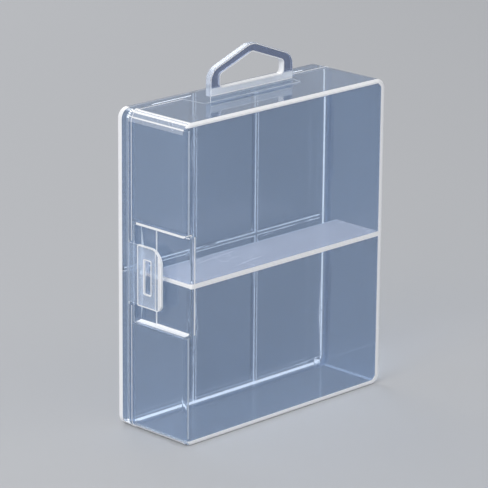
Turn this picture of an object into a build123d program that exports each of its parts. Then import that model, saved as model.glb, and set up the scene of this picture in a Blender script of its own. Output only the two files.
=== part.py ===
from build123d import *
import os

# Battery storage case, in millimetres. +Z is up, +X points to the hinge side and +Y to the lid.
# The origin is the middle of the flat face that the closed case stands on.

# Case: a deep tray in front and a shallow lid behind, both with the same outline
case_width = 160.0
case_height = 185.4
tray_depth = 45.0
lid_depth = 9.2
wall = 1.8
front_panel = 1.7
back_panel = 1.6
corner_radius = 6.0
panel_edge_radius = 1.6
rim_edge_radius = 0.8
inner_edge_radius = 1.0
rim_gap = 0.1

# Raised band along the rim of the tray
band_width = 2.7
band_rise = 0.35
band_edge_radius = 0.2

# Lip of the lid, and the rebate that takes it in the rim of the tray
lip_reach = 3.9
lip_thickness = 0.7
lip_gap = 0.1
lip_break_margin = 2.0

# Divider: a shelf moulded across the tray at half its height
divider_thickness = 1.6
divider_setback = 8.4
divider_edge_radius = 0.6

# Stiffening ribs on the inside of the lid
rib_thickness = 2.7
rib_height = 3.0
rib_spacing = 49.6
rib_edge_radius = 0.4

# Recess in the latch side of the tray, with a deeper floor in front of a small step
recess_height = 56.8
recess_depth = 4.8
recess_front_depth = 5.4
recess_step_setback = 17.6
recess_wall = 1.7
recess_corner_radius = 1.5
recess_mouth_radius = 0.5
recess_back_setback = 4.1

# Latch flap, the thin film that joins it to the lid, and the catch on the tray
flap_height = 35.6
flap_length = 20.3
flap_thickness = 1.2
flap_pass_gap = 0.1
flap_upper_radius = 9.5
flap_lower_radius = 5.0
flap_back_radius = 0.8
grip_length = 6.5
grip_rise = 1.3
grip_thickness = 1.9
film_length = 7.7
film_height = 34.6
film_thickness = 0.5
film_set_in = 0.1
film_seat_gap = 0.2
film_seat_margin = 1.0
window_height = 19.6
window_length = 5.3
window_setback = 5.5
window_corner_radius = 0.4
catch_side_gap = 0.5
catch_top_gap = 0.1
catch_slope = 0.07
catch_edge_radius = 0.3

# Tongue of the lid, and the notch that takes it in the top wall of the tray
tongue_half_width = 40.7
tongue_length = 17.3
tongue_taper = 0.13
tongue_gap = 0.3
tongue_corner_radius = 0.6

# Hanging handle that folds forward on a thin film, standing on the tongue of the lid
hanger_half_width = 32.95
hanger_thickness = 3.8
hanger_shoulder_height = 14.2
hanger_apex_height = 26.5
hanger_shoulder_radius = 8.4
hanger_apex_radius = 12.2
hanger_edge_radius = 0.5
hole_half_width = 25.1
hole_bottom_height = 4.0
hole_shoulder_height = 11.7
hole_apex_height = 20.8
hole_corner_radius = 2.3
hole_apex_radius = 3.3
hanger_film_height = 2.6
hanger_film_thickness = 0.5
hanger_setback = 1.0

# Two hinges outside the right wall, each a tray knuckle, a lid knuckle and a pin
lower_hinge_inset = 19.6
upper_hinge_inset = 23.9
lid_knuckle_length = 19.0
tray_knuckle_length = 25.2
knuckle_gap = 0.2
knuckle_radius = 1.85
knuckle_end_radius = 0.4
hinge_offset = 2.5
pin_radius = 0.9
pin_clearance = 0.08
pin_seat_depth = 21.0

# Places that follow from the sizes
front = -(tray_depth + lid_depth) / 2
parting = front + tray_depth
back = parting + lid_depth
lid_rim = parting + rim_gap
side = case_width / 2
middle = case_height / 2
overshoot = 5.0
rebate_inset = wall - lip_thickness - lip_gap
rebate_floor = parting - lip_reach - lip_gap
recess_back = parting - recess_back_setback
recess_step = parting - recess_step_setback
recess_floor_x = -side + recess_depth
recess_front_x = -side + recess_front_depth
recess_behind_x = recess_front_x + recess_wall
recess_low = middle - recess_height / 2
recess_high = middle + recess_height / 2
film_outer_x = -side + film_set_in
film_seat_x = film_outer_x + film_thickness + film_seat_gap
film_seat_low = middle - flap_height / 2 - film_seat_margin
film_seat_high = middle + flap_height / 2 + film_seat_margin
flap_inner_x = film_seat_x - flap_pass_gap
flap_outer_x = flap_inner_x - flap_thickness
flap_back_y = lid_rim - film_length
flap_free_y = flap_back_y - flap_length
window_back_y = flap_back_y - window_setback
window_front_y = window_back_y - window_length
notch_front = parting - tongue_length - tongue_gap
hanger_front = parting - tongue_length + hanger_setback
hanger_foot = case_height + hanger_film_height
hinge_x = side + hinge_offset


def block(x, y, z):
    """A box between two values on each axis."""
    centre = Pos((x[0] + x[1]) / 2, (y[0] + y[1]) / 2, (z[0] + z[1]) / 2)
    return centre * Box(x[1] - x[0], y[1] - y[0], z[1] - z[0])


def outline_block(inset, y):
    """The outline of the case drawn in by an inset, with its four corners rounded."""
    x = (inset - side, side - inset)
    z = (inset, case_height - inset)
    body = block(x, y, z)
    return fillet(body.edges().filter_by(Axis.Y), corner_radius - inset)


def edges_at(body, axis, value, tolerance=0.01):
    """The edges that lie in one plane square to an axis."""
    return body.edges().filter_by_position(axis, value - tolerance, value + tolerance)


def prism(plane, corners, depth):
    """An outline of (a, b, radius) corners, pushed out of its plane by a depth."""
    outline = Polygon(*[(a, b) for a, b, radius in corners], align=None)
    for a, b, radius in corners:
        if radius > 0:
            corner = outline.vertices().sort_by_distance((a, b, 0))[0]
            outline = fillet(corner, radius)
    return extrude(plane * outline, amount=depth, dir=plane.z_dir)


def from_front(corners, y):
    """An outline in X and Z that reaches between two values of Y."""
    return prism(Plane.XZ.offset(-y[1]), corners, y[1] - y[0])


def barrel(z, radius):
    """A round bar on the hinge axis."""
    place = Pos(hinge_x, parting, (z[0] + z[1]) / 2)
    return place * Cylinder(radius, z[1] - z[0])


def knuckle(z, side_of_parting):
    """A hinge barrel and the foot that joins it to the wall, on one side of the parting."""
    body = barrel(z, knuckle_radius)
    body = fillet(body.edges().filter_by(GeomType.CIRCLE), knuckle_end_radius)
    inner = rim_gap * side_of_parting
    outer = knuckle_radius * side_of_parting
    foot_y = sorted((parting + inner, parting + outer))
    return body + block((side - wall / 2, hinge_x), foot_y, z)


def hinge_spans():
    """For each hinge: tray knuckle, lid knuckle and pin, each as a low and a high Z."""
    spans = {}
    for name, inset in (("lower", lower_hinge_inset), ("upper", upper_hinge_inset)):
        lid = (inset, inset + lid_knuckle_length)
        tray = (lid[1] + knuckle_gap, lid[1] + knuckle_gap + tray_knuckle_length)
        pin = (lid[0], tray[0] + pin_seat_depth)
        if name == "upper":
            lid, tray, pin = [(case_height - b, case_height - a) for a, b in (lid, tray, pin)]
        spans[name] = {"tray": tray, "lid": lid, "pin": pin}
    return spans


def top_plate(gap, y, z):
    """The tongue's outline seen from above, drawn out by a gap all round."""
    front_half, back_half = [tongue_half_width + gap + tongue_taper * (at - parting) for at in y]
    radius = tongue_corner_radius + gap
    corners = [(-back_half, y[1], 0), (-front_half, y[0], radius),
               (front_half, y[0], radius), (back_half, y[1], 0)]
    return prism(Plane.XY.offset(z[0]), corners, z[1] - z[0])


def make_recess():
    """The space that the latch recess takes out of the left wall, open at the front."""
    whole = block((-side - overshoot, recess_floor_x),
                  (front - overshoot, recess_back), (recess_low, recess_high))
    floor = edges_at(whole, Axis.X, recess_floor_x).sort_by(Axis.Y)
    whole = fillet(floor[1:], recess_corner_radius)
    deeper = block((-side - overshoot, recess_front_x),
                   (front - overshoot, recess_step), (recess_low, recess_high))
    along = edges_at(deeper, Axis.X, recess_front_x).filter_by(Axis.Y)
    return whole + fillet(along, recess_corner_radius)


def make_band():
    """The raised band along the rim of the tray, left out underneath so that the case stands flat."""
    band = outline_block(-band_rise, (parting - band_width, parting))
    band = fillet(edges_at(band, Axis.Y, parting), rim_edge_radius)
    band = fillet(edges_at(band, Axis.Y, parting - band_width), band_edge_radius)
    return band & block((-case_width, case_width), (front, back), (0, 2 * case_height))


def make_cavity():
    """The inside of the tray, stepped in where the latch recess stands behind the wall."""
    cavity = outline_block(wall, (front + front_panel, parting + overshoot))
    cavity = fillet(edges_at(cavity, Axis.Y, front + front_panel), inner_edge_radius)
    behind = block((-side - overshoot, recess_behind_x),
                   (front - overshoot, recess_back + recess_wall),
                   (recess_low - recess_wall, recess_high + recess_wall))
    face = edges_at(behind, Axis.X, recess_behind_x).sort_by(Axis.Y)
    behind = fillet(face[1:], recess_corner_radius)
    return cavity - behind


def break_in_lip(margin):
    """The stretch of the left rim beside the recess, where the lip and its rebate stop."""
    return block((-side - overshoot, -side + 2 * overshoot), (front, back),
                 (recess_low - recess_wall - margin, recess_high + recess_wall + margin))


def make_tray():
    body = outline_block(0, (front, parting))
    body = fillet(edges_at(body, Axis.Y, parting), rim_edge_radius)
    body -= make_recess()
    body = fillet(edges_at(body, Axis.Y, front), panel_edge_radius)
    mouth = edges_at(body, Axis.X, -side).filter_by_position(
        Axis.Z, recess_low - 0.01, recess_high + 0.01)
    body = fillet(mouth, recess_mouth_radius)
    body += make_band()
    body -= make_cavity()
    rebate = outline_block(rebate_inset, (rebate_floor, parting + overshoot))
    body -= rebate - break_in_lip(lip_break_margin / 2)
    body -= top_plate(tongue_gap, (notch_front, parting + overshoot),
                      (case_height - wall - overshoot, case_height + overshoot))
    body -= block((-side - overshoot, film_seat_x), (recess_back - overshoot, parting + overshoot),
                  (film_seat_low, film_seat_high))
    divider = block((recess_behind_x - recess_wall / 2, side - wall / 2),
                    (front + front_panel / 2, parting - divider_setback),
                    (middle - divider_thickness / 2, middle + divider_thickness / 2))
    divider = fillet(edges_at(divider, Axis.Y, parting - divider_setback).filter_by(Axis.X),
                     divider_edge_radius)
    body += divider
    body += make_catch()
    for span in hinge_spans().values():
        body += knuckle(span["tray"], -1)
    for span in hinge_spans().values():
        body -= barrel(span["pin"], pin_radius)
    return body


def make_catch():
    """The block that stands under the window of the flap, its top rising towards the lid."""
    root = recess_behind_x - recess_wall / 2
    y = (window_front_y + catch_side_gap, window_back_y - catch_side_gap)
    top = flap_inner_x + catch_top_gap
    high_top = top - catch_slope * (y[1] - y[0])
    profile = [(root, y[0], 0), (top, y[0], catch_edge_radius),
               (high_top, y[1], catch_edge_radius), (root, y[1], 0)]
    height = window_height - 2 * catch_side_gap
    return prism(Plane.XY.offset(middle - height / 2), profile, height)


def make_lid():
    body = outline_block(0, (lid_rim, back))
    body = fillet(edges_at(body, Axis.Y, back), panel_edge_radius)
    body = fillet(edges_at(body, Axis.Y, lid_rim), rim_edge_radius)
    body += block((-side, -side + wall), (lid_rim, lid_rim + 2 * rim_edge_radius),
                  (film_seat_low, film_seat_high))
    cavity = outline_block(wall, (lid_rim - overshoot, back - back_panel))
    cavity = fillet(edges_at(cavity, Axis.Y, back - back_panel), inner_edge_radius)
    body -= cavity
    lip_inset = rebate_inset + lip_gap
    lip = outline_block(lip_inset, (parting - lip_reach, lid_rim + wall))
    lip -= outline_block(wall, (parting - 2 * lip_reach, back))
    body += lip - break_in_lip(lip_break_margin)
    body += top_plate(0, (parting - tongue_length, lid_rim + wall),
                      (case_height - wall, case_height)) - cavity
    body += make_ribs()
    for span in hinge_spans().values():
        body += knuckle(span["lid"], 1)
    for span in hinge_spans().values():
        body -= barrel(span["pin"], pin_radius + pin_clearance)
    return body


def make_ribs():
    """Two upright ribs and one across, standing on the back panel of the lid."""
    half = rib_thickness / 2
    rib_y = (back - back_panel - rib_height, back - back_panel / 2)
    ribs = [block((x - half, x + half), rib_y, (wall / 2, case_height - wall / 2))
            for x in (-rib_spacing / 2, rib_spacing / 2)]
    ribs.append(block((wall / 2 - side, side - wall / 2), rib_y, (middle - half, middle + half)))
    rounded = [fillet(edges_at(rib, Axis.Y, rib_y[0]).sort_by(SortBy.LENGTH)[-2:], rib_edge_radius)
               for rib in ribs]
    return rounded[0] + rounded[1] + rounded[2]


def make_flap():
    """The latch flap: a plate with a window and a flared edge to lift it by."""
    low = middle - flap_height / 2
    flare_x = flap_outer_x - grip_rise
    profile = [(flap_inner_x, flap_back_y, 0), (flap_outer_x, flap_back_y, 0),
               (flap_outer_x, flap_free_y + grip_length, 2.0),
               (flare_x, flap_free_y + 0.8, 0.8), (flare_x, flap_free_y, 0.4),
               (flare_x + grip_thickness, flap_free_y, 0.4),
               (flap_inner_x, flap_free_y + grip_length - 1.0, 2.0)]
    plate = prism(Plane.XY.offset(low), profile, flap_height)
    outline = [(flap_back_y, low, flap_back_radius), (flap_free_y, low, flap_lower_radius),
               (flap_free_y, low + flap_height, flap_upper_radius),
               (flap_back_y, low + flap_height, flap_back_radius)]
    plate &= prism(Plane.YZ.offset(-side - overshoot), outline, 3 * overshoot)
    window = block((-side - overshoot, flap_inner_x + overshoot), (window_front_y, window_back_y),
                   (middle - window_height / 2, middle + window_height / 2))
    window = fillet(window.edges().filter_by(Axis.X), window_corner_radius)
    return plate - window


def make_latch_film():
    """The thin web between the rim of the lid and the back edge of the flap."""
    half = film_height / 2
    return block((film_outer_x, film_outer_x + film_thickness), (flap_back_y, lid_rim),
                 (middle - half, middle + half))


def make_hanger():
    """The hanging handle: a house-shaped plate with a house-shaped hole."""
    foot = hanger_foot
    outline = [(-hanger_half_width, foot, 0), (hanger_half_width, foot, 0),
               (hanger_half_width, foot + hanger_shoulder_height, hanger_shoulder_radius),
               (0, foot + hanger_apex_height, hanger_apex_radius),
               (-hanger_half_width, foot + hanger_shoulder_height, hanger_shoulder_radius)]
    hole = [(-hole_half_width, foot + hole_bottom_height, hole_corner_radius),
            (hole_half_width, foot + hole_bottom_height, hole_corner_radius),
            (hole_half_width, foot + hole_shoulder_height, hole_corner_radius),
            (0, foot + hole_apex_height, hole_apex_radius),
            (-hole_half_width, foot + hole_shoulder_height, hole_corner_radius)]
    y = (hanger_front, hanger_front + hanger_thickness)
    plate = from_front(outline, y)
    rims = edges_at(plate, Axis.Y, y[0]) + edges_at(plate, Axis.Y, y[1])
    rims = [rim for rim in rims if rim.center().Z > foot + hanger_edge_radius]
    plate = fillet(rims, hanger_edge_radius)
    return plate - from_front(hole, (y[0] - overshoot, y[1] + overshoot))


def make_hanger_film():
    """The thin web that the handle folds on, standing on the tongue of the lid."""
    half = hanger_half_width - hanger_edge_radius
    y = (hanger_front, hanger_front + hanger_film_thickness)
    return block((-half, half), y, (case_height, hanger_foot))


def make_pin(name):
    span = hinge_spans()[name]["pin"]
    return barrel(span, pin_radius)


pieces = {
    "tray": make_tray(),
    "lid": make_lid(),
    "latch_flap": make_flap(),
    "latch_film": make_latch_film(),
    "hanger": make_hanger(),
    "hanger_film": make_hanger_film(),
    "upper_hinge_pin": make_pin("upper"),
    "lower_hinge_pin": make_pin("lower"),
}

os.makedirs("parts", exist_ok=True)
for name, piece in pieces.items():
    export_step(piece, f"parts/{name}.step")
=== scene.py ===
import math

import bmesh
import bpy
from mathutils import Matrix, Vector


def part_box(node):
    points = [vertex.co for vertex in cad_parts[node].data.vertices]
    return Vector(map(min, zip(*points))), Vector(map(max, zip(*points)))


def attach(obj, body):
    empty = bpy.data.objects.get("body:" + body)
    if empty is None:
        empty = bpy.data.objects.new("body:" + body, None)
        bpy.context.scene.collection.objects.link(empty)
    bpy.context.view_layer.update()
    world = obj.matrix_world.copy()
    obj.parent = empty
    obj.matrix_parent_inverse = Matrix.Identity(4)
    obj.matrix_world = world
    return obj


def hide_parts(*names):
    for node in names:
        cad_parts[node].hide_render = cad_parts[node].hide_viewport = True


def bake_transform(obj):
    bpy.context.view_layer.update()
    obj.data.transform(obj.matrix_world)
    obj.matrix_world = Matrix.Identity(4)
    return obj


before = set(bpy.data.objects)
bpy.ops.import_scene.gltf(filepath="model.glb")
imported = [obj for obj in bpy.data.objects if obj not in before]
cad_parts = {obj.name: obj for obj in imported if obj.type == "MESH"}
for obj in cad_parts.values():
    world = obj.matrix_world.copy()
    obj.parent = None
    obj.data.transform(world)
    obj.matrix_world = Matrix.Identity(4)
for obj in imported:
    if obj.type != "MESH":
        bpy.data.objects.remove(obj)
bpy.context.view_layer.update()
scene = bpy.context.scene
scene.view_settings.view_transform = "Standard"

# Tray: the deep front half, one moulding of clear polypropylene about 1.8 mm thick. Its walls look
# blue-grey and see-through, and wherever the eye looks along the plastic instead of through it, as
# at the panel's edges, the shelf and the latch recess, the same plastic gathers light and looks white;
# that gathered light is painted into those faces as white and half-lit finishes.
MM = 0.001
half_width = 80.0
case_height = 185.4
front_face = -27.1
parting = 17.9
middle = case_height / 2
corner_radius = 6.0
panel = 1.7
recess_low = middle - 28.4
recess_high = middle + 28.4
recess_floor = -75.2
recess_step_y = 0.3
flat_share = 0.998
crease = math.radians(28)


def joined_copy(node):
    """A CAD node's triangles in a new mesh, with the loose corners joined."""
    bm = bmesh.new()
    bm.from_mesh(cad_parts[node].data)
    bmesh.ops.remove_doubles(bm, verts=bm.verts, dist=1e-6)
    bmesh.ops.scale(bm, vec=(1 / MM,) * 3, verts=bm.verts)
    bm.normal_update()
    return bm


def cut(bm, where, places, normal):
    """Cuts the faces that pass a test along parallel planes, so that a finish can end there."""
    for place in places:
        faces = [f for f in bm.faces if where(f.calc_center_median(), f.normal)]
        geometry = set(faces)
        for face in faces:
            geometry.update(face.edges)
            geometry.update(face.verts)
        point = Vector(normal) * place
        bmesh.ops.bisect_plane(bm, geom=list(geometry), dist=1e-4, plane_co=point, plane_no=normal)
        bm.normal_update()


def outline_depth(x, z):
    """How far a point lies inside the case's rounded outline."""
    a = abs(x) - half_width + corner_radius
    b = abs(z - middle) - case_height / 2 + corner_radius
    outside = math.hypot(max(a, 0), max(b, 0))
    return corner_radius - outside - min(max(a, b), 0)


def finished(bm, name, materials, choose, body, node, rim=None):
    """Turns a mesh in millimetres into a piece that rides on a body in place of a CAD node."""
    for face in bm.faces:
        centre = face.calc_center_median()
        on_rim = rim is not None and face[rim]
        # Faces in a marked rim band take the edge finish, a painted white light.
        face.material_index = EDGE if on_rim else choose(centre, face.normal)
        face.smooth = max(abs(part) for part in face.normal) < flat_share
    for line in bm.edges:
        line.smooth = line.calc_face_angle(math.pi) < crease
    bmesh.ops.scale(bm, vec=(MM,) * 3, verts=bm.verts)
    mesh = bpy.data.meshes.new(name)
    bm.to_mesh(mesh)
    bm.free()
    for material in materials:
        mesh.materials.append(material)
    piece = bpy.data.objects.new(name, mesh)
    scene.collection.objects.link(piece)
    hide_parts(node)
    if body:
        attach(piece, body)
    return piece


def group_socket(group, name, way, kind, value=None):
    socket = group.interface.new_socket(name=name, in_out=way, socket_type=kind)
    if value is not None:
        socket.default_value = value


def math_node(tree, kind, first, second=None):
    """A Math node in a tree; each input is a number or the output of another node."""
    node = tree.nodes.new("ShaderNodeMath")
    node.operation = kind
    for socket, value in zip(node.inputs, (first, second)):
        if isinstance(value, (int, float)):
            socket.default_value = value
        elif value is not None:
            tree.links.new(value, socket)
    return node.outputs[0]


def moulded_skin():
    """Flow lines, a faint haze and fine scratches, as cooled polypropylene has them."""
    line_sharpness = 90
    bump_depth = 0.0005
    group = bpy.data.node_groups.new("moulded_skin", "ShaderNodeTree")
    group_socket(group, "Vector", "INPUT", "NodeSocketVector")
    group_socket(group, "Roughness", "INPUT", "NodeSocketFloat", 0.1)
    group_socket(group, "Haze", "INPUT", "NodeSocketFloat", 0.1)
    group_socket(group, "Waviness", "INPUT", "NodeSocketFloat", 0.3)
    group_socket(group, "Scratches", "INPUT", "NodeSocketFloat", 0.5)
    group_socket(group, "Colour", "INPUT", "NodeSocketColor", (0.8, 0.8, 0.8, 1))
    group_socket(group, "Colour", "OUTPUT", "NodeSocketColor")
    group_socket(group, "Roughness", "OUTPUT", "NodeSocketFloat")
    group_socket(group, "Normal", "OUTPUT", "NodeSocketVector")
    nodes, links = group.nodes, group.links
    enter = nodes.new("NodeGroupInput")
    leave = nodes.new("NodeGroupOutput")

    def noise(scale, stretch, turn, detail):
        mapping = nodes.new("ShaderNodeMapping")
        mapping.inputs["Scale"].default_value = stretch
        mapping.inputs["Rotation"].default_value = turn
        texture = nodes.new("ShaderNodeTexNoise")
        texture.inputs["Scale"].default_value = scale
        texture.inputs["Detail"].default_value = detail
        links.new(enter.outputs["Vector"], mapping.inputs["Vector"])
        links.new(mapping.outputs[0], texture.inputs["Vector"])
        return texture.outputs[0]

    def calc(kind, first, second=None):
        return math_node(group, kind, first, second)

    flow = noise(26, stretch=(1, 1, 0.35), turn=(0.2, 0.1, 0.3), detail=3)
    cloud = noise(9, stretch=(1, 1, 1), turn=(0, 0, 0), detail=2)
    streak = noise(60, stretch=(1, 1, 0.08), turn=(0.5, 0.4, 0.2), detail=1)
    cross = noise(60, stretch=(0.08, 1, 1), turn=(0.3, 0.9, 0.5), detail=1)
    sparse = noise(22, stretch=(1, 1, 1), turn=(0.4, 0, 0), detail=0)
    scratch = None
    for lines in (streak, cross):
        off_line = calc("ABSOLUTE", calc("SUBTRACT", lines, 0.5))
        fine = calc("MAXIMUM", calc("SUBTRACT", 1, calc("MULTIPLY", off_line, line_sharpness)), 0)
        scratch = fine if scratch is None else calc("MAXIMUM", scratch, fine)
    patch = calc("MAXIMUM", calc("MULTIPLY", calc("SUBTRACT", sparse, 0.5), 6), 0)
    scratch = calc("MULTIPLY", scratch, calc("MINIMUM", patch, 1))
    scratch = calc("MULTIPLY", scratch, enter.outputs["Scratches"])
    veil = calc("MULTIPLY", calc("SUBTRACT", cloud, 0.5), enter.outputs["Haze"])
    shade = calc("ADD", calc("ADD", 1, veil), calc("MULTIPLY", scratch, 0.12))
    tint = nodes.new("ShaderNodeVectorMath")
    tint.operation = "SCALE"
    links.new(enter.outputs["Colour"], tint.inputs[0])
    links.new(shade, tint.inputs["Scale"])
    links.new(tint.outputs[0], leave.inputs["Colour"])
    rough = calc("ADD", enter.outputs["Roughness"], calc("MULTIPLY", scratch, 0.2))
    rough = calc("ADD", rough, calc("MULTIPLY", calc("SUBTRACT", cloud, 0.4), 0.05))
    links.new(calc("MAXIMUM", rough, 0.02), leave.inputs["Roughness"])
    bump = nodes.new("ShaderNodeBump")
    bump.inputs["Distance"].default_value = bump_depth
    swell = calc("MULTIPLY", flow, enter.outputs["Waviness"])
    height = calc("SUBTRACT", swell, calc("MULTIPLY", scratch, 0.1))
    links.new(height, bump.inputs["Height"])
    links.new(bump.outputs[0], leave.inputs["Normal"])
    return group


skin = moulded_skin()


def plastic(name, colour, clear, rough, haze, waviness, scratches, lamp_tint=None):
    """Polypropylene that is clear by a share of 0 to 1; with a tint, lamps reach through it."""
    material = bpy.data.materials.new(name)
    material.use_nodes = True
    nodes, links = material.node_tree.nodes, material.node_tree.links
    shader = nodes["Principled BSDF"]
    coordinates = nodes.new("ShaderNodeTexCoord")
    surface = nodes.new("ShaderNodeGroup")
    surface.node_tree = skin
    surface.inputs["Colour"].default_value = colour
    surface.inputs["Roughness"].default_value = rough
    surface.inputs["Haze"].default_value = haze
    surface.inputs["Waviness"].default_value = waviness
    surface.inputs["Scratches"].default_value = scratches
    links.new(coordinates.outputs["Object"], surface.inputs["Vector"])
    links.new(surface.outputs["Colour"], shader.inputs["Base Color"])
    links.new(surface.outputs["Roughness"], shader.inputs["Roughness"])
    links.new(surface.outputs["Normal"], shader.inputs["Normal"])
    shader.inputs["Transmission Weight"].default_value = clear
    shader.inputs["IOR"].default_value = 1.49
    if lamp_tint:
        path = nodes.new("ShaderNodeLightPath")
        through = nodes.new("ShaderNodeBsdfTransparent")
        through.inputs["Color"].default_value = lamp_tint
        mixer = nodes.new("ShaderNodeMixShader")
        links.new(path.outputs["Is Shadow Ray"], mixer.inputs[0])
        links.new(shader.outputs[0], mixer.inputs[1])
        links.new(through.outputs[0], mixer.inputs[2])
        links.new(mixer.outputs[0], nodes["Material Output"].inputs["Surface"])
    return material


clear = plastic("clear_wall", (0.50, 0.59, 0.72, 1), clear=0.86, rough=0.04, haze=0.12, waviness=0.1,
                scratches=0.3, lamp_tint=(0.96, 0.97, 0.98, 1))
# Painted light: a near-opaque white finish for the light the plastic gathers where it is seen edge-on.
edge = plastic("light_gathering_edge", (0.96, 0.965, 0.98, 1), clear=0.05, rough=0.30, haze=0.05,
               waviness=0.1, scratches=0.5)
# Painted light: the same white dimmed to a half-lit blue, for edges that gather less of it.
soft_edge = plastic("half_lit_edge", (0.74, 0.80, 0.90, 1), clear=0.66, rough=0.18, haze=0.08,
                    waviness=0.1, scratches=0.5, lamp_tint=(0.9, 0.92, 0.95, 1))
# Painted glow: white lines for light piped along the plastic; below they also emit a warm light of their
# own.
piped = plastic("light_piping_line", (0.96, 0.97, 1.0, 1), clear=0.05, rough=0.30, haze=0.05,
                waviness=0.1, scratches=0.5)
# The emission is a painted glow, so these lines shine through the tinted walls though they are no lamp.
piped_shader = piped.node_tree.nodes["Principled BSDF"]
piped_shader.inputs["Emission Color"].default_value = (1.0, 0.93, 0.84, 1)
piped_shader.inputs["Emission Strength"].default_value = 1.0
# Painted light: the shelf's top gets a whiter, warmer, less clear finish for the light it catches from
# above.
lit_shelf = plastic("lit_shelf_painted", (1.0, 0.93, 0.92, 1), clear=0.22, rough=0.22, haze=0.10, waviness=0.2,
                  scratches=0.6, lamp_tint=(0.9, 0.9, 0.93, 1))

CLEAR, EDGE, SOFT, PIPED, LIT_SHELF = range(5)
panel_inside = front_face + panel
shelf_back = parting - 8.4
recess_front = -74.6
near = 0.1
rim_half = 1.0
rebate_depth = 2.8
inner_depth = 2
panel_round = 1.1
foot_round = 1.3
left_side = -70
foot_band_left = -76
shelf_half = 0.9
# Half the height of the painted white line where the shelf meets the panel, and the width of the one
# along its back.
shelf_line = 1.4
# Painted white bands round the outline of the panel's front face, for the light its edges gather.
top_band = 183.2
foot_band = 2.9
side_band = 76.4
band_corner = 2.5
top_corner = side_band + top_band - band_corner
foot_corner = side_band - foot_band - band_corner
# A painted white line on the panel's inside, for the light caught by the rounding of its inner corner.
corner_line = (-76.7, -75.5)
corner_line_ends = (4.0, case_height - 4.0)
recess_wall = 1.7
# A painted white line on the panel's face in front of the latch recess, for light gathered there
# edge-on.
recess_line = (-72.7, -71.9)
recess_end = 11.8
recess_back = parting - 4
recess_round = 1.6
# Where the recess ledge's painted white light gives way to a half-lit band.
ledge_line = -78.4
# Painted white lines across the recess floor and along its small step.
floor_line = 1.2
step_line = 0.4
# A painted white band on the outer left wall and the panel, for the recess's ceiling plate that gathers
# light edge-on behind them.
ceiling_line = (recess_high + 0.2, recess_high + 1.7)
knuckle_side = half_width + 0.4
# Painted white lines and half-lit bands round the top left corner, by angle.
line_turns = (17, 25, 38)
fine_line_turns = (60, 68)


def flat_to(axis, normal):
    return abs(normal["xyz".index(axis)]) > 0.9


def between(low_high, value):
    return low_high[0] < value < low_high[1]


def corner_turn(c):
    """How far round the top left corner a place is: 0 at the top wall, 90 at the left wall."""
    return math.degrees(math.atan2(corner_radius - half_width - c.x, c.z - case_height + corner_radius))


def on_panel_front(c, n):
    return flat_to("y", n) and c.y < front_face + near


def on_panel_back(c, n):
    return flat_to("y", n) and abs(c.y - panel_inside) < near


def on_panel_round(c, n):
    return c.y < panel_inside and c.x < left_side and not flat_to("y", n) and abs(n.z) < 0.3


def on_left_wall(c, n):
    return n.x < -0.9 and c.x < near - half_width and c.y < parting - near


def on_recess_floor(c, n):
    on_side = flat_to("x", n) and recess_floor - 0.3 < c.x < recess_front + near
    return on_side and recess_low < c.z < recess_high


def on_shelf_top(c, n):
    return flat_to("z", n) and abs(c.z - middle) < shelf_half and c.x > recess_front


def on_recess_ledge(c, n):
    return flat_to("z", n) and c.x < recess_front and abs(c.z - recess_low) < near


def on_left_round(c, n):
    return c.x < corner_radius - half_width + 0.01 and abs(n.y) < 0.3 and outline_depth(c.x, c.z) < 0.3


def on_top_corner(c, n):
    return on_left_round(c, n) and c.z > case_height - corner_radius - 0.01


def on_foot_corner(c, n):
    return on_left_round(c, n) and c.z < corner_radius and -0.98 < n.z < -0.5


def on_foot_round(c, n):
    return c.z < foot_round and -0.95 < n.z < -0.6


tray = joined_copy("tray")
shelf_lines = [middle - shelf_line, middle + shelf_line]
beside_recess = (recess_low - recess_wall, recess_high + recess_wall)
corner_cuts = [corner_radius - half_width - corner_radius * math.sin(math.radians(turn))
               for turn in (*line_turns, *fine_line_turns)]
along_x, along_y, along_z = (1, 0, 0), (0, 1, 0), (0, 0, 1)
cut(tray, on_panel_front, [recess_low, recess_high, foot_band, *shelf_lines, top_band], along_z)
cut(tray, on_panel_front, [*recess_line, side_band], along_x)
cut(tray, on_panel_front, [top_corner / 2], (1, 0, 1))
cut(tray, on_panel_front, [foot_corner / 2], (1, 0, -1))
cut(tray, on_panel_back, [*beside_recess, *corner_line_ends], along_z)
cut(tray, on_panel_back, corner_line, along_x)
cut(tray, on_panel_round, shelf_lines, along_z)
cut(tray, on_left_wall, ceiling_line, along_z)
cut(tray, on_left_wall, [recess_end], along_y)
cut(tray, on_panel_round, ceiling_line, along_z)
cut(tray, on_panel_front, ceiling_line, along_z)
cut(tray, on_panel_front, [recess_front], along_x)
cut(tray, on_recess_floor, [middle - floor_line, middle + floor_line], along_z)
cut(tray, on_recess_floor, [recess_step_y + step_line], along_y)
cut(tray, on_shelf_top, [shelf_back - shelf_line], along_y)
cut(tray, on_recess_ledge, [ledge_line], along_x)
cut(tray, on_top_corner, corner_cuts, along_x)


def panel_finish(c, n):
    """The front panel: painted white light where its edges, the shelf and the inner corners run along
    the view.
    """
    if on_panel_back(c, n):
        on_line = between(corner_line, c.x) and between(corner_line_ends, c.z)
        return EDGE if on_line and not between(beside_recess, c.z) else CLEAR
    on_shelf_line = abs(c.z - middle) < shelf_line
    on_ceiling_line = between(ceiling_line, c.z)
    if on_panel_front(c, n):
        white = on_shelf_line or c.x > side_band or c.z > top_band or c.z < foot_band
        white = white or c.x + c.z > top_corner or c.x - c.z > foot_corner
        white = white or (recess_low < c.z < recess_high and between(recess_line, c.x))
        return EDGE if white or (on_ceiling_line and c.x < recess_front) else CLEAR
    if on_panel_round(c, n) and (on_shelf_line or on_ceiling_line):
        return EDGE
    on_foot_band = c.z < foot_band and c.x > foot_band_left
    return EDGE if c.x > side_band or c.z > top_band or on_foot_band else CLEAR


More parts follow.
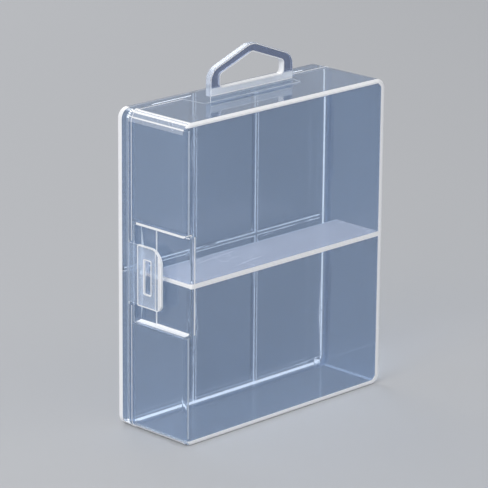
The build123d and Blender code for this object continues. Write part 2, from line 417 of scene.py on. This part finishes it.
def recess_finish(c, n):
    """The latch recess: painted white light on a ledge below and on corners above, and a thin painted
    white line at its small step.
    """
    inside = c.x < recess_floor + 0.7
    if inside and c.z < recess_low + recess_round and n.z > 0.3:
        return EDGE if c.x > ledge_line else SOFT
    if inside and c.z > recess_high - recess_round and 0.05 < abs(n.z) < 0.95:
        return EDGE
    if inside and abs(c.y - recess_step_y) < near and abs(n.y) > 0.5:
        return EDGE
    on_line = abs(c.z - middle) < floor_line or 0 < c.y - recess_step_y < step_line
    return EDGE if on_recess_floor(c, n) and on_line else CLEAR


def corner_finish(c):
    """The rounded top left corner: two painted white lines above, then a painted half-lit band with one
    fine white line.
    """
    turn = corner_turn(c)
    first_end, second_start, second_end = line_turns
    if turn < second_end:
        return SOFT if first_end < turn < second_start else EDGE
    return EDGE if between(fine_line_turns, turn) else SOFT


def tray_finish(c, n):
    """The tray: each part of it by its own rule, and painted white light at its rim and along its foot.
    """
    depth = outline_depth(c.x, c.z)
    at_shelf = abs(c.z - middle) < shelf_half
    in_recess = c.x < recess_front + near and recess_low - near < c.z < recess_high + near
    if c.x > knuckle_side:
        return knuckle_finish(c, n)
    if c.y < panel_inside + panel_round and not (at_shelf and c.y > panel_inside + near):
        return panel_finish(c, n)
    if in_recess and c.y < recess_back:
        return recess_finish(c, n)
    # The shelf: a painted white line along its back, and a painted lighter tone over its top.
    if at_shelf and c.x > recess_front and depth > inner_depth:
        return EDGE if c.y > shelf_back - shelf_line else LIT_SHELF
    if on_top_corner(c, n):
        return corner_finish(c)
    on_ceiling_line = on_left_wall(c, n) and between(ceiling_line, c.z) and c.y < recess_end
    on_rim_end = c.y > parting - rebate_depth and abs(n.y) > 0.3 and depth < rim_half
    white = on_foot_corner(c, n) or on_foot_round(c, n) or on_ceiling_line or on_rim_end
    return EDGE if white else CLEAR


def knuckle_finish(c, n):
    """A hinge knuckle: its ends and the two lines down its sides are painted white where they catch the
    light.
    """
    across = abs(n.x - n.y) * math.sqrt(0.5)
    return EDGE if abs(n.z) > 0.5 or across > 0.85 else CLEAR


finished(tray, "tray_moulding", [clear, edge, soft_edge, piped, lit_shelf], tray_finish,
         "tray", "tray")

# Lid: the shallow back half, moulded in the same clear polypropylene, with three low ribs that stiffen
# its panel and a tongue that reaches forward into the top wall. The tray's rim closes round its lip.
back_face = 27.1
back_inside = back_face - 1.6
rib_front = back_inside - 3.0
rib_x = 24.8
# Painted glowing lines along the edges of each rib's front, with a clear core between them.
rib_core = 0.75
rib_cuts = [side * rib_x + line for side in (-1, 1) for line in (-rib_core, rib_core)]
# A painted white band round the lid's back edge, and a painted half-lit strip along its top.
edge_band = 23.1
top_strip = case_height - 3
tongue_under = case_height - 1.9
tongue_root = 17.5
lip_end = 15
wall_half = 0.9
# Painted glowing seam lines inside the lid's walls and floor, half-lit at the left end, where the tray's
# rim stands against them.
side_seam = (19.2, 20.4)
foot_seam = (19.0, 22.4)
seam_left = 2 - half_width
lid = joined_copy("lid")


def on_lid_wall(c, n):
    begins = parting - 3.0 if abs(n.x) > 0.9 and abs(c.x) > 77 else parting
    return abs(n.y) < 0.3 and c.y > begins and rim_half < outline_depth(c.x, c.z) < 1.9


def on_lid_floor(c, n):
    return on_lid_wall(c, n) and n.z > 0.7


def on_lid_outside(c, n):
    outside = outline_depth(c.x, c.z) < wall_half and c.x < knuckle_side
    return outside and abs(n.y) < 0.3 and c.y > parting


def on_rib_front(c, n):
    return n.y < -0.9 and abs(c.y - rib_front) < near and outline_depth(c.x, c.z) > inner_depth


cut(lid, on_lid_outside, [edge_band], along_y)
cut(lid, on_lid_wall, side_seam, along_y)
cut(lid, on_rib_front, rib_cuts, along_x)
cut(lid, on_rib_front, [middle - rib_core, middle + rib_core], along_z)
cut(lid, on_lid_floor, foot_seam, along_y)


def lid_wall_finish(c, n):
    """Inside the lid's walls: the painted glowing seam where the rim of the tray stands against them,
    half-lit at its left end.
    """
    if between(foot_seam if n.z > 0.7 else side_seam, c.y):
        return SOFT if c.x < seam_left else PIPED
    return CLEAR


def lid_finish(c, n):
    """The lid: painted white light on rib edges, seam, tongue, lip and rim, and a painted white band
    round its back edge.
    """
    depth = outline_depth(c.x, c.z)
    if c.x > knuckle_side:
        return knuckle_finish(c, n)
    if on_lid_wall(c, n):
        return lid_wall_finish(c, n)
    if on_foot_corner(c, n):
        return EDGE
    if on_rib_front(c, n):
        in_core = abs(abs(c.x) - rib_x) < rib_core or abs(c.z - middle) < rib_core
        return CLEAR if in_core else PIPED
    in_band = c.y > edge_band and (depth < wall_half or (c.y > back_inside + near and depth < 1.5))
    if in_band and depth < wall_half and c.z > top_strip and c.x > corner_radius - half_width:
        return CLEAR if n.y > 0.7 or c.x > 0 else SOFT
    if in_band:
        return CLEAR if c.x > half_width - corner_radius else EDGE
    on_tongue_edge = c.z > tongue_under and c.y < tongue_root and abs(n.z) < 0.5
    on_lip_end = c.y < lip_end and n.y < -0.5 and depth > wall_half
    on_rib_round = abs(c.y - rib_front) < 0.5 and 0.1 < abs(n.y) < 0.98 and depth > 2.5
    on_rim_end = c.y < parting + 0.2 and abs(n.y) > 0.3 and depth < rim_half
    white = on_tongue_edge or on_lip_end or on_rib_round or on_rim_end or on_foot_round(c, n)
    return EDGE if white else CLEAR


finished(lid, "lid_moulding", [clear, edge, soft_edge, piped], lid_finish,
         "lid", "lid")

# Latch flap: a thin satin plate with a window that snaps over the catch, and an edge that flares out
# to lift it by. It is moulded with the lid and hangs on it by a thin film.
satin = plastic("satin_flap", (0.73, 0.80, 0.90, 1), clear=0.72, rough=0.10, haze=0.10, waviness=0.1,
                scratches=0.7, lamp_tint=(0.9, 0.92, 0.95, 1))
flap_outline = 0.65
# Painted white lines where the flap's edge begins to flare out.
grip_band = (-8.6, -7.2)
grip_line = (-5.1, -4.5)
flap = joined_copy("latch_flap")


def line_round(bm, where, width):
    """Marks a narrow band along the borders of the faces that pass a test, in a layer of its own."""
    layer = bm.faces.layers.int.new("rim")
    faces = [f for f in bm.faces if where(f.normal)]
    band = bmesh.ops.inset_region(bm, faces=faces, thickness=width, use_even_offset=True)
    for face in band["faces"]:
        face[layer] = 1
    return layer


# A painted white outline round the flap's outer face.
flap_rim = line_round(flap, lambda n: n.x < -0.9, flap_outline)
cut(flap, lambda c, n: n.x < -0.9, [*grip_band, *grip_line], along_y)


def flap_finish(c, n):
    """The flap: satin faces, painted white light on its edges, and two painted white lines where its
    edge begins to flare out.
    """
    on_grip = n.x < 0 and (between(grip_band, c.y) or between(grip_line, c.y))
    return EDGE if on_grip or not flat_to("x", n) else CLEAR


finished(flap, "latch_flap_moulding", [satin, edge], flap_finish,
         "latch", "latch_flap", flap_rim)

# Latch film: the living hinge between the rim of the lid and the flap. It is the same moulding drawn
# down to half a millimetre, thinnest along the middle where it folds.
film_clear = plastic("thin_film", (0.68, 0.76, 0.86, 1), clear=0.85, rough=0.06, haze=0.10, waviness=0.1,
                     scratches=0.5, lamp_tint=(0.95, 0.96, 0.98, 1))
film_low, film_high = (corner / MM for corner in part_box("latch_film"))
film_size = film_high - film_low
film_neck = 0.5


def film_tree():
    """One tree for both films: a closed strip that is necked down where it folds."""
    tree = bpy.data.node_groups.new("living_hinge_film", "GeometryNodeTree")
    for name, value in (("Thickness", 0.5), ("Length", 8.0), ("Width", 30.0), ("Neck", 0.5)):
        group_socket(tree, name, "INPUT", "NodeSocketFloat", value)
    group_socket(tree, "Place", "INPUT", "NodeSocketVector")
    group_socket(tree, "Turn", "INPUT", "NodeSocketVector")
    group_socket(tree, "Material", "INPUT", "NodeSocketMaterial")
    group_socket(tree, "Geometry", "OUTPUT", "NodeSocketGeometry")
    nodes, links = tree.nodes, tree.links
    enter = nodes.new("NodeGroupInput")
    leave = nodes.new("NodeGroupOutput")

    def calc(kind, first, second=None):
        return math_node(tree, kind, first, second)

    size = nodes.new("ShaderNodeCombineXYZ")
    for socket, name in zip(size.inputs, ("Thickness", "Length", "Width")):
        links.new(enter.outputs[name], socket)
    block = nodes.new("GeometryNodeMeshCube")
    links.new(size.outputs[0], block.inputs["Size"])
    for name, count in (("Vertices X", 2), ("Vertices Y", 33), ("Vertices Z", 5)):
        block.inputs[name].default_value = count
    place = nodes.new("GeometryNodeInputPosition")
    parts = nodes.new("ShaderNodeSeparateXYZ")
    links.new(place.outputs[0], parts.inputs[0])
    along = calc("DIVIDE", parts.outputs["Y"], enter.outputs["Length"])
    wave = calc("COSINE", calc("MULTIPLY", along, 2 * math.pi))
    half_neck = calc("MULTIPLY", enter.outputs["Neck"], 0.5)
    thinner = calc("SUBTRACT", 1, calc("MULTIPLY", half_neck, calc("ADD", wave, 1)))
    moved = nodes.new("ShaderNodeCombineXYZ")
    links.new(calc("MULTIPLY", parts.outputs["X"], thinner), moved.inputs["X"])
    links.new(parts.outputs["Y"], moved.inputs["Y"])
    links.new(parts.outputs["Z"], moved.inputs["Z"])
    shaped = nodes.new("GeometryNodeSetPosition")
    links.new(block.outputs["Mesh"], shaped.inputs["Geometry"])
    links.new(moved.outputs[0], shaped.inputs["Position"])
    turned = nodes.new("GeometryNodeTransform")
    links.new(shaped.outputs[0], turned.inputs["Geometry"])
    links.new(enter.outputs["Place"], turned.inputs["Translation"])
    links.new(enter.outputs["Turn"], turned.inputs["Rotation"])
    real = nodes.new("GeometryNodeRealizeInstances")
    links.new(turned.outputs[0], real.inputs[0])
    painted = nodes.new("GeometryNodeSetMaterial")
    links.new(real.outputs[0], painted.inputs["Geometry"])
    links.new(enter.outputs["Material"], painted.inputs["Material"])
    links.new(painted.outputs[0], leave.inputs["Geometry"])
    return tree


def grown(tree, values):
    """The plain mesh that a geometry tree makes from named values, as editable geometry."""
    maker = bpy.data.objects.new("maker", bpy.data.meshes.new("maker"))
    scene.collection.objects.link(maker)
    modifier = maker.modifiers.new("tree", "NODES")
    modifier.node_group = tree
    for item in tree.interface.items_tree:
        if item.item_type == "SOCKET" and item.in_out == "INPUT" and item.name in values:
            modifier[item.identifier] = values[item.name]
    graph = bpy.context.evaluated_depsgraph_get()
    mesh = bpy.data.meshes.new_from_object(maker.evaluated_get(graph))
    bpy.data.objects.remove(maker)
    bm = bmesh.new()
    bm.from_mesh(mesh)
    return bm


def film_finish(side):
    """Painted white light at the two ends of a film's width, clear everywhere else."""
    return lambda c, n: EDGE if abs(n.dot(side)) > 0.9 else CLEAR


film = film_tree()
latch_strip = grown(film, {
    "Thickness": film_size.x, "Length": film_size.y, "Width": film_size.z, "Neck": film_neck,
    "Place": tuple((film_low + film_high) / 2), "Turn": (0, 0, 0), "Material": film_clear})
latch_film = finished(latch_strip, "latch_film_strip", [film_clear, edge],
                      film_finish(Vector(along_z)), None, "latch_film")
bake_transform(latch_film)

# Hanging handle: a plate 3.8 mm thick with a house-shaped hole, clear on its faces, milky at its foot
# and painted white along its edges for the light they gather. It stands on the tongue of the lid and
# folds forward on its own film.
handle_clear = plastic("handle_face", (0.25, 0.30, 0.44, 1), clear=0.80, rough=0.08, haze=0.15,
                       waviness=0.2, scratches=0.7, lamp_tint=(0.9, 0.92, 0.95, 1))
handle_milky = plastic("handle_foot", (0.90, 0.94, 1.0, 1), clear=0.30, rough=0.15, haze=0.15,
                       waviness=0.2, scratches=0.7, lamp_tint=(0.9, 0.92, 0.95, 1))
HANDLE_FOOT, HANDLE_SIDE = 2, 3
handle_outline = 0.6
foot_rail = 192.4
hole_middle = Vector((0, 3.5, 199.0))
handle = joined_copy("hanger")
# A painted white outline round the handle's front face.
handle_rim = line_round(handle, lambda n: n.y < -0.9, handle_outline)
cut(handle, lambda c, n: flat_to("y", n), [foot_rail], along_z)


def handle_finish(c, n):
    """The handle: clear faces, a milky foot, painted white light on the sides in the hole and a painted
    half-lit look on the sides outside.
    """
    if flat_to("y", n):
        return HANDLE_FOOT if c.z < foot_rail else CLEAR
    return EDGE if (c - hole_middle).dot(n) < 0 else HANDLE_SIDE


finished(handle, "hanger_moulding", [handle_clear, edge, handle_milky, soft_edge], handle_finish,
         "hanger", "hanger", handle_rim)

# Handle film: the living hinge under the handle, a low web of the same plastic that stands on the
# tongue of the lid. It is grown from the same tree as the latch film, turned to stand up.
web_low, web_high = (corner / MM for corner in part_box("hanger_film"))
web_size = web_high - web_low
standing = (math.radians(90), 0, math.radians(90))
hanger_strip = grown(film, {
    "Thickness": web_size.y, "Length": web_size.z, "Width": web_size.x, "Neck": film_neck,
    "Place": tuple((web_low + web_high) / 2), "Turn": standing, "Material": film_clear})
hanger_film = finished(hanger_strip, "hanger_film_strip", [film_clear, edge],
                       film_finish(Vector(along_x)), None, "hanger_film")
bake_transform(hanger_film)

# Hinge pins: two plain rods of the same plastic, pressed into the tray's knuckles with no gap. They
# keep their CAD shape and only take the painted half-lit look.
for pin in ("upper_hinge_pin", "lower_hinge_pin"):
    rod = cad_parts[pin].data
    rod.materials.clear()
    rod.materials.append(soft_edge)

# Camera: it stands where the photograph was taken from, far off and a little above, and looks at the
# corner with the latch.
azimuth = math.radians(-45.078)
elevation = math.radians(16.744)
roll = math.radians(0.487)
distance = 1.7010
target = Vector((-0.007016, 0.0, 0.09767))
sensor_width = 36.0
focal_pixels = 2985.7
picture_width = 488

back = Vector((math.sin(azimuth) * math.cos(elevation), -math.cos(azimuth) * math.cos(elevation),
               math.sin(elevation)))
level_right = (-back).cross(Vector((0, 0, 1))).normalized()
level_up = level_right.cross(-back)
right = level_right * math.cos(roll) + level_up * math.sin(roll)
up = level_up * math.cos(roll) - level_right * math.sin(roll)
camera_data = bpy.data.cameras.new("camera")
camera_data.sensor_width = sensor_width
camera_data.lens = focal_pixels * sensor_width / picture_width
camera_data.clip_end = 50
camera = bpy.data.objects.new("camera", camera_data)
camera.matrix_world = Matrix.Translation(target + back * distance) @ Matrix(
    (right, up, back)).transposed().to_4x4()
scene.collection.objects.link(camera)
scene.camera = camera

# Floor, sky and lamps: a plain pale floor that fills the view, the same tone all round it, and three
# large soft lamps, the strongest from the latch side.
floor_colour = (0.50, 0.51, 0.53, 1)
floor_half = 6.0
floor_mesh = bpy.data.meshes.new("floor")
corners = [(-floor_half, -floor_half, 0), (floor_half, -floor_half, 0),
           (floor_half, floor_half, 0), (-floor_half, floor_half, 0)]
floor_mesh.from_pydata(corners, [], [(0, 1, 2, 3)])
floor = bpy.data.objects.new("floor", floor_mesh)
scene.collection.objects.link(floor)
floor_material = bpy.data.materials.new("floor")
floor_material.use_nodes = True
floor_shader = floor_material.node_tree.nodes["Principled BSDF"]
floor_shader.inputs["Base Color"].default_value = floor_colour
floor_shader.inputs["Roughness"].default_value = 0.9
floor_mesh.materials.append(floor_material)

world = bpy.data.worlds.new("studio")
scene.world = world
world.use_nodes = True
sky = world.node_tree.nodes["Background"]
sky.inputs["Color"].default_value = (0.80, 0.81, 0.83, 1)
sky.inputs["Strength"].default_value = 0.55


def soft_lamp(name, place, size, power):
    """A large square lamp that faces the middle of the case."""
    data = bpy.data.lights.new(name, "AREA")
    data.shape = "SQUARE"
    data.size = size
    data.energy = power
    lamp = bpy.data.objects.new(name, data)
    lamp.location = place
    lamp.rotation_euler = (target - Vector(place)).to_track_quat("-Z", "Y").to_euler()
    scene.collection.objects.link(lamp)


soft_lamp("key_lamp", place=(-1.8, -0.6, 1.5), size=1.2, power=32)
soft_lamp("fill_lamp", place=(1.4, -1.8, 1.1), size=1.4, power=8)
soft_lamp("back_lamp", place=(0.6, 1.8, 1.5), size=1.2, power=14)
